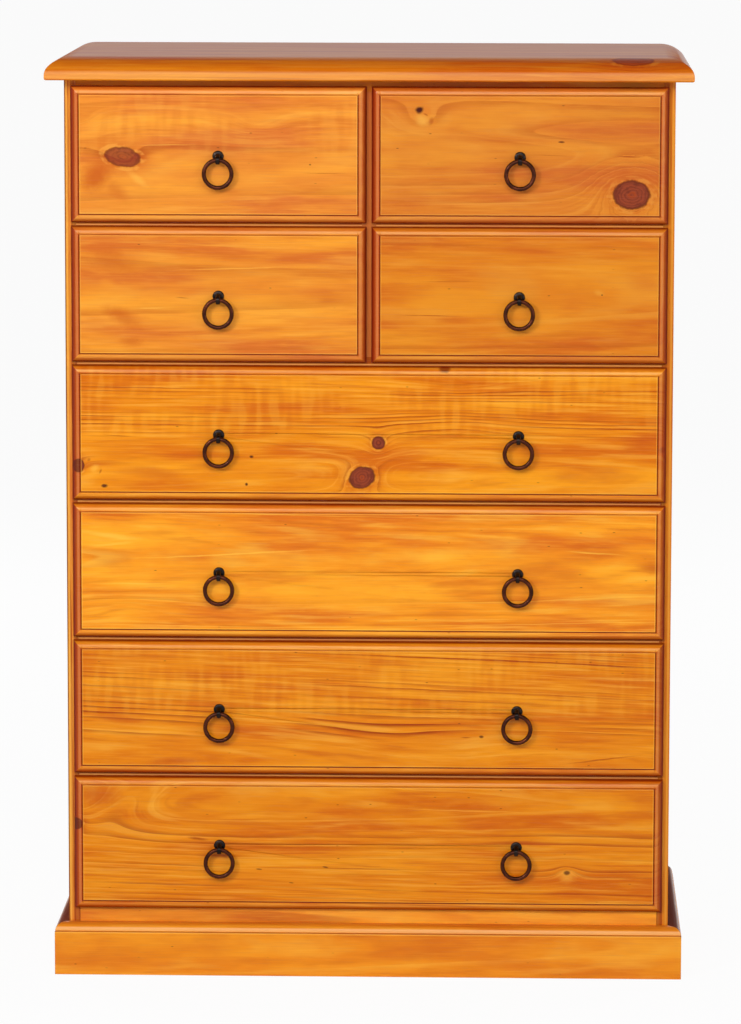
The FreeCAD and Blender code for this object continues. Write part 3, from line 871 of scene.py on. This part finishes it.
for number, (key, look) in enumerate(FRONT_LOOKS.items()):
    front = key + "_drawer_front"
    seed = SEED_STEP * number + FIRST_SEED
    paint(front, pine("stained_" + front, front, FRONT_GRAIN, seed, edging=Board.stain_and_paint_lip_light, **look))
    soften(front, FRONT_EDGE)
    paint(key + "_drawer_box", box_material)
    paint(key + "_drawer_bottom", plywood_material)
    paint(key + "_pull_posts", post_material)
for node in frame["nodes"]:
    if node.endswith("_ring"):
        paint(node, ring_material)
for node, (grain, seed, look) in BOARD_LOOKS.items():
    paint(node, pine("stained_" + node, node, grain, seed, **look))
for node in ("rear_rails", "left_runners", "right_runners", "divider_runners", "plinth_glue_blocks"):
    paint(node, inside_material)
paint("back_panel", plywood_material)
for node in ("top_board", "plinth_front", "left_plinth", "right_plinth", "bottom_rail", "top_rail"):
    soften(node, BOARD_EDGE)
for node in ("left_side_panel", "right_side_panel"):
    soften(node, SIDE_EDGE)


# 1 on the named kinds of ray, otherwise 0
def ray_share(tree, first, *others):
    path = tree.nodes.new("ShaderNodeLightPath")
    share = path.outputs[first]
    for kind in others:
        either = tree.nodes.new("ShaderNodeMath")
        either.operation = "MAXIMUM"
        tree.links.new(share, either.inputs[0])
        tree.links.new(path.outputs[kind], either.inputs[1])
        share = either.outputs[0]
    return share


# A surface that mixes a dim shader with a bright one
def mixed_surface(owner, output_kind, share, dim, bright):
    tree = owner.node_tree
    output = tree.nodes.new(output_kind)
    mixer = tree.nodes.new("ShaderNodeMixShader")
    tree.links.new(share, mixer.inputs["Fac"])
    tree.links.new(dim.outputs[0], mixer.inputs[1])
    tree.links.new(bright.outputs[0], mixer.inputs[2])
    tree.links.new(mixer.outputs[0], output.inputs["Surface"])


# White studio
WHITE = (1.0, 1.0, 1.0, 1.0)
FLOOR_TONE = (0.8, 0.8, 0.8, 1.0)
FLOOR_REACH = 60.0
FLOOR_WHITE_SHARE = 0.95
SOFT_LIGHT = 0.2

# Heights on the unit sphere between which the walls dim to the ceiling
WALL_TOP = 0.3
CEILING = 0.7
CEILING_LIGHT = 0.15


# Floor, white to the camera but for the shadow
def stage():
    mesh = bpy.data.meshes.new("floor")
    corners = [(x * FLOOR_REACH, y * FLOOR_REACH, 0.0) for x, y in ((-1, -1), (1, -1), (1, 1), (-1, 1))]
    mesh.from_pydata(corners, [], [(0, 1, 2, 3)])
    floor = bpy.data.objects.new("floor", mesh)
    bpy.context.scene.collection.objects.link(floor)
    material = bpy.data.materials.new("floor")
    material.use_nodes = True
    tree = material.node_tree
    tree.nodes.clear()
    matt = tree.nodes.new("ShaderNodeBsdfDiffuse")
    matt.inputs["Color"].default_value = FLOOR_TONE
    white = tree.nodes.new("ShaderNodeEmission")
    share = tree.nodes.new("ShaderNodeMath")
    share.operation = "MULTIPLY"
    share.inputs[1].default_value = FLOOR_WHITE_SHARE
    tree.links.new(ray_share(tree, "Is Camera Ray", "Is Glossy Ray"), share.inputs[0])
    mixed_surface(material, "ShaderNodeOutputMaterial", share.outputs[0], matt, white)
    mesh.materials.append(material)


# White walls under a dim ceiling, and a soft light on the object
def world():
    studio = bpy.data.worlds.new("studio")
    bpy.context.scene.world = studio
    studio.use_nodes = True
    tree = studio.node_tree
    tree.nodes.clear()
    soft = tree.nodes.new("ShaderNodeBackground")
    soft.inputs["Color"].default_value = WHITE
    soft.inputs["Strength"].default_value = SOFT_LIGHT
    white = tree.nodes.new("ShaderNodeBackground")
    white.inputs["Color"].default_value = WHITE
    direction = tree.nodes.new("ShaderNodeTexCoord")
    height = tree.nodes.new("ShaderNodeSeparateXYZ")
    ceiling = tree.nodes.new("ShaderNodeMapRange")
    ceiling.interpolation_type = "SMOOTHSTEP"
    ceiling.inputs["From Min"].default_value = WALL_TOP
    ceiling.inputs["From Max"].default_value = CEILING
    ceiling.inputs["To Min"].default_value = 1.0
    ceiling.inputs["To Max"].default_value = CEILING_LIGHT
    tree.links.new(direction.outputs["Generated"], height.inputs[0])
    tree.links.new(height.outputs["Z"], ceiling.inputs["Value"])
    tree.links.new(ceiling.outputs["Result"], white.inputs["Strength"])
    share = ray_share(tree, "Is Camera Ray", "Is Glossy Ray", "Is Transmission Ray")
    mixed_surface(studio, "ShaderNodeOutputWorld", share, soft, white)


# Softboxes: place, target, width, height and power
LAMPS = {
    "front": ((0.0, -5.0, 3.6), (0.0, 0.0, 0.7), 4.0, 2.0, 140.0),
    "key": ((-2.2, -3.8, 2.3), (0.0, 0.0, 0.7), 0.6, 0.6, 62.0),
    "fill": ((2.8, -3.4, 1.3), (0.0, 0.0, 0.6), 1.2, 1.2, 18.0),
    "back_left": ((-2.8, 3.4, 1.2), (0.0, 0.0, 0.6), 1.5, 1.5, 70.0),
    "back_right": ((2.8, 3.4, 1.2), (0.0, 0.0, 0.6), 1.5, 1.5, 70.0),
}


def softbox(name, place, target, width, height, power):
    light = bpy.data.lights.new(name, "AREA")
    light.shape = "RECTANGLE"
    light.size = width
    light.size_y = height
    light.energy = power
    lamp = bpy.data.objects.new(name, light)
    lamp.location = place
    lamp.visible_camera = False
    lamp.rotation_euler = (Vector(target) - Vector(place)).to_track_quat("-Z", "Y").to_euler()
    bpy.context.scene.collection.objects.link(lamp)


def camera():
    forward = Vector((
        -math.sin(CAMERA_YAW) * math.cos(CAMERA_PITCH),
        math.cos(CAMERA_YAW) * math.cos(CAMERA_PITCH),
        math.sin(CAMERA_PITCH),
    ))
    level = Vector((math.cos(CAMERA_YAW), math.sin(CAMERA_YAW), 0.0))
    upright = level.cross(forward)
    right = level * math.cos(CAMERA_ROLL) + upright * math.sin(CAMERA_ROLL)
    up = upright * math.cos(CAMERA_ROLL) - level * math.sin(CAMERA_ROLL)
    lens = bpy.data.cameras.new("camera")
    lens.sensor_width = SENSOR_MM
    lens.lens = CAMERA_LENS_MM
    viewer = bpy.data.objects.new("camera", lens)
    turn = Matrix((right, up, -forward)).transposed().to_4x4()
    viewer.matrix_world = Matrix.Translation(CAMERA_PLACE) @ turn
    bpy.context.scene.collection.objects.link(viewer)
    bpy.context.scene.camera = viewer


stage()
world()
for name, lamp in LAMPS.items():
    softbox(name, *lamp)
camera()
bpy.context.scene.view_settings.view_transform = "Standard"
